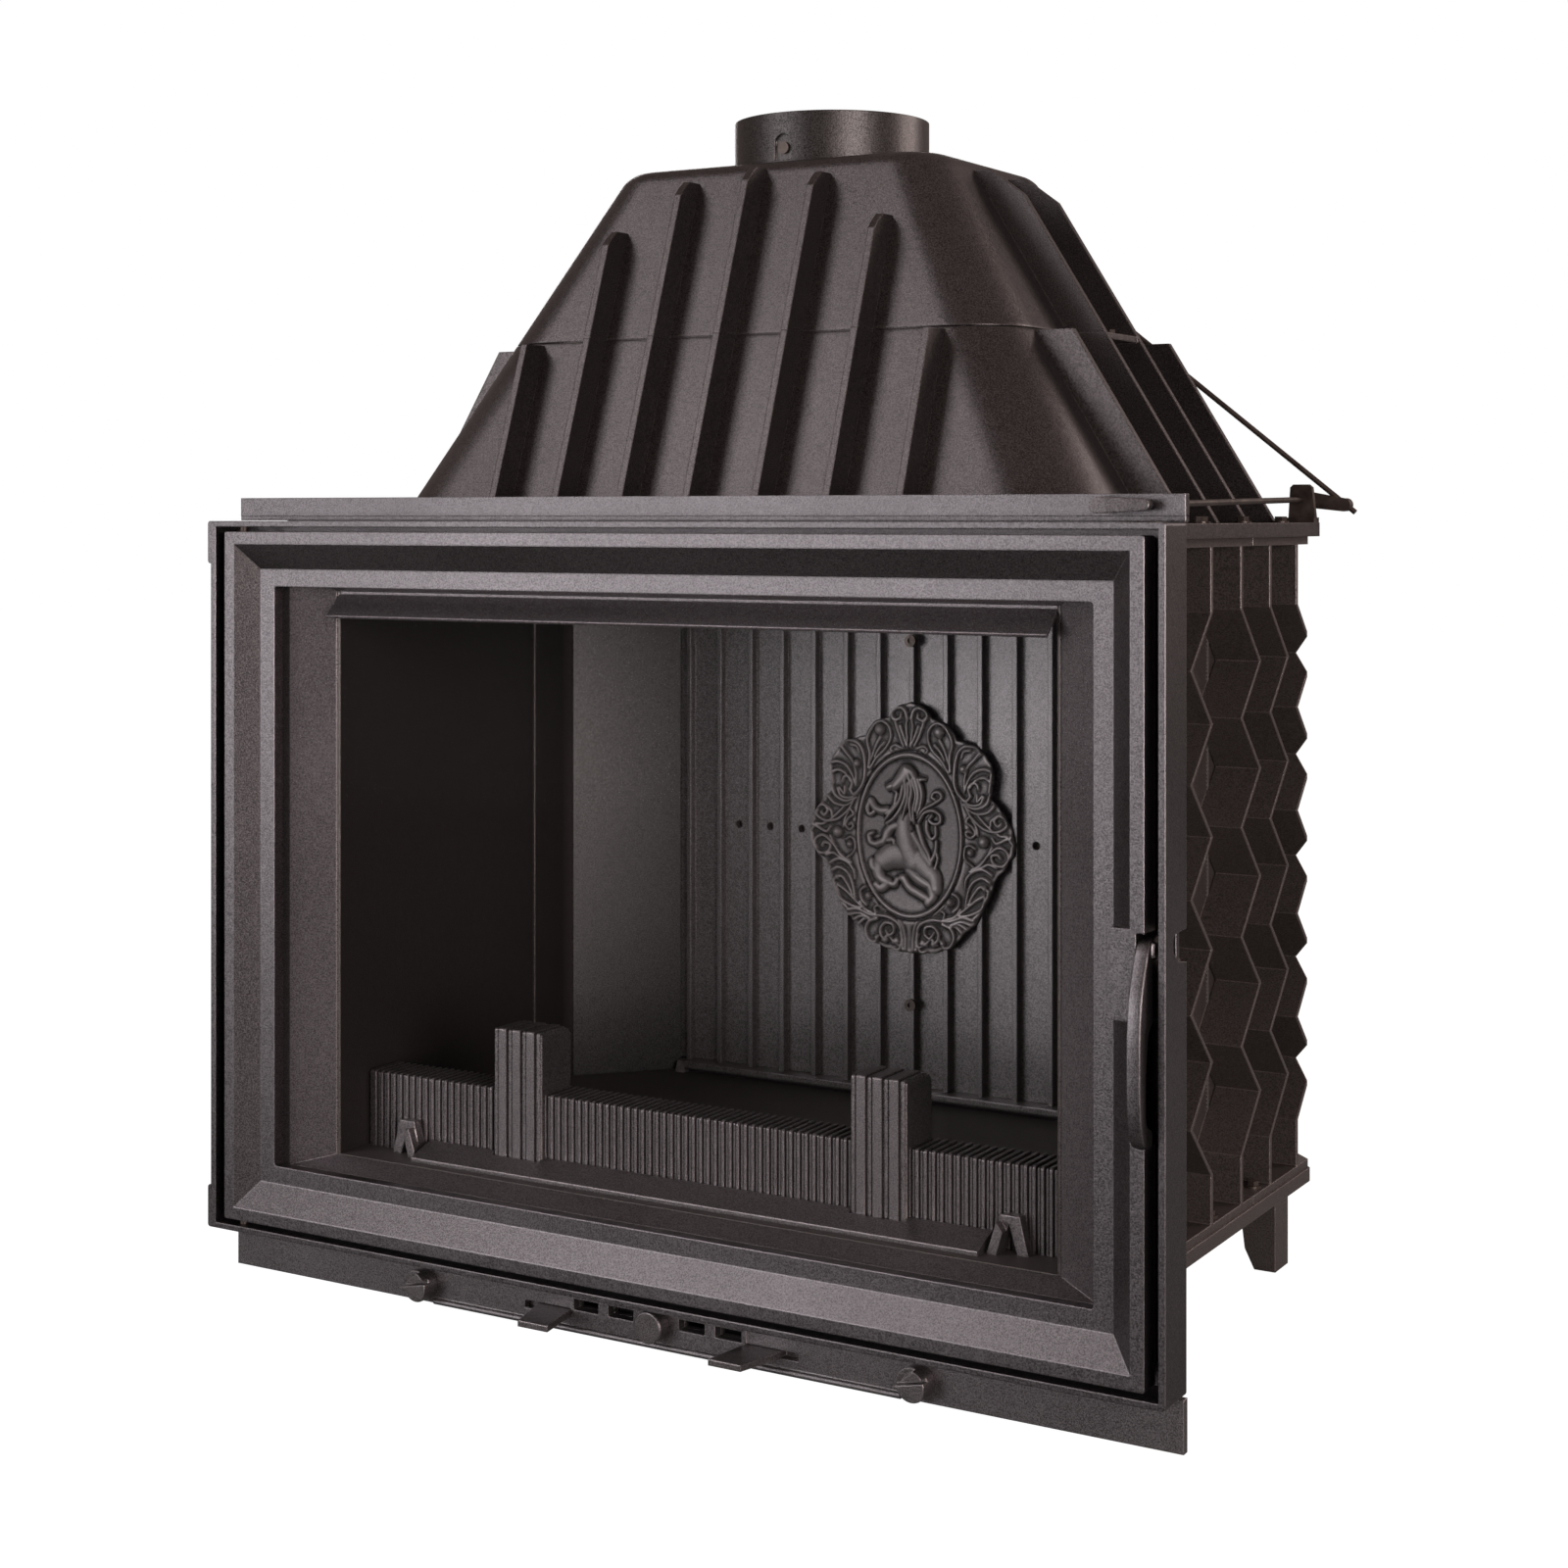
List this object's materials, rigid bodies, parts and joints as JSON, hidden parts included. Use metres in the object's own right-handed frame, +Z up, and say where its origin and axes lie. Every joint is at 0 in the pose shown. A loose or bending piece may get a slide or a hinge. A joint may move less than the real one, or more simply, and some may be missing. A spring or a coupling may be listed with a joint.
{
  "type": "fireplace insert",
  "caption": "Cast iron fireplace insert with a glazed side-hinged door, finned firebox, log fence, ribbed smoke hood, round flue collar and smoke flap.",
  "frame": {"origin": "on the floor plane of the feet, under the middle of the insert's overall box", "axes": "+X to the right as seen from the front, +Y from the door to the back, +Z up"},
  "size_m": [1.014, 0.609, 1.153],
  "materials": {
    "front_iron": "matte near-black stove paint over cast iron with a fine sand grain",
    "door_iron": "matte near-black stove paint over cast iron with a fine sand grain",
    "hood_iron": "matte near-black stove paint over cast iron with a fine sand grain",
    "body_iron": "matte near-black stove paint over cast iron with a fine sand grain",
    "lining_iron": "matte near-black stove paint over cast iron with a fine sand grain",
    "fence_iron": "matte near-black stove paint over cast iron with a fine sand grain",
    "rod_steel": "blued mild steel, slightly rusted",
    "control_iron": "matte near-black stove paint over cast iron with a fine sand grain",
    "glass": "clear ceramic glass",
    "rope": "woven glass fibre sealing rope",
    "sheet_steel": "folded grey sheet steel"
  },
  "bodies": {
    "root": {"base_plate": "body_iron", "front_feet": "body_iron", "rear_feet": "body_iron", "side_front_right": "body_iron", "side_front_left": "body_iron", "side_rear_right": "body_iron", "side_rear_left": "body_iron", "joint_ropes": "rope", "rear_wall": "body_iron", "casting_bolts": "rod_steel", "top_plate": "hood_iron", "top_bar": "front_iron", "hood_lower": "hood_iron", "hood_upper": "hood_iron", "throat_plate": "body_iron", "flue_collar": "hood_iron", "screws": "rod_steel", "front_frame": "front_iron", "fire_surround": "body_iron", "deflector": "body_iron", "hearth_plate": "body_iron", "grate": "body_iron", "grate_rest": "body_iron", "ash_box": "sheet_steel", "ash_pan": "sheet_steel", "back_lining": "lining_iron", "back_lip": "lining_iron", "corner_lining_right": "lining_iron", "corner_lining_left": "lining_iron", "crest": "lining_iron", "log_fence": "fence_iron", "fence_post_right": "fence_iron", "fence_post_left": "fence_iron", "ramp": "body_iron", "cleat_right": "fence_iron", "cleat_left": "fence_iron", "smoke_baffle": "body_iron", "hinge_pins": "rod_steel", "skirt_panel": "front_iron", "back_strip": "sheet_steel", "shaft_bracket": "rod_steel"},
    "door": {"door_frame": "door_iron", "door_glass": "glass", "glass_clips": "rod_steel", "door_rope": "rope", "handle_pin": "rod_steel"},
    "handle": {"handle_lever": "door_iron"},
    "slide_right": {"air_slide_right": "control_iron"},
    "slide_left": {"air_slide_left": "control_iron"},
    "knob_right": {"turn_knob_right": "control_iron"},
    "knob_left": {"turn_knob_left": "control_iron"},
    "air_pull": {"pull_knob": "control_iron", "air_valve": "rod_steel"},
    "damper": {"damper_knob": "control_iron", "damper_shaft": "rod_steel", "damper_arm": "rod_steel"},
    "link": {"link_rod": "rod_steel"},
    "flap": {"flap_crank": "rod_steel", "flap_axle": "rod_steel", "throat_flap": "body_iron"}
  },
  "joints": [
    {"name": "door_hinge", "type": "hinge", "parent": "root", "child": "door", "pos_m": [-0.472, -0.2715, 0.4], "axis": [0, 0, -1], "range_deg": [0, 110]},
    {"name": "handle_pivot", "type": "hinge", "parent": "door", "child": "handle", "pos_m": [0.486, -0.2745, 0.411], "axis": [-1, 0, 0], "range_deg": [0, 50]},
    {"name": "right_air_slide", "type": "slide", "parent": "root", "child": "slide_right", "axis": [1, 0, 0], "range_m": [0, 0.014]},
    {"name": "left_air_slide", "type": "slide", "parent": "root", "child": "slide_left", "axis": [-1, 0, 0], "range_m": [0, 0.014]},
    {"name": "right_knob_turn", "type": "hinge", "parent": "root", "child": "knob_right", "pos_m": [0.26614, -0.2445, 0.021], "axis": [0, 1, 0], "range_deg": [0, 90]},
    {"name": "left_knob_turn", "type": "hinge", "parent": "root", "child": "knob_left", "pos_m": [-0.26614, -0.2445, 0.021], "axis": [0, 1, 0], "range_deg": [0, 90]},
    {"name": "air_pull", "type": "slide", "parent": "root", "child": "air_pull", "axis": [0, -1, 0], "range_m": [0, 0.025]},
    {"name": "flap_turn", "type": "hinge", "parent": "root", "child": "flap", "pos_m": [0.11448, 0.04973, 1.04308], "axis": [-0.0742, 0.9971, 0.0144], "range_deg": [0, 50]},
    {"name": "damper_turn", "type": "hinge", "parent": "root", "child": "damper", "pos_m": [0.45446, 0.00878, 0.7686], "axis": [-0.0742, 0.9971, 0.0144], "range_deg": [0, 50]},
    {"name": "link_swing", "type": "hinge", "parent": "damper", "child": "link", "pos_m": [0.4704, 0.27976, 0.76709], "axis": [-0.0742, 0.9971, 0.0144], "range_deg": [-50, 0]}
  ],
  "couplings": [
    {"joint": "damper_turn", "follows": "flap_turn", "ratio": 1},
    {"joint": "link_swing", "follows": "flap_turn", "ratio": -1}
  ]
}
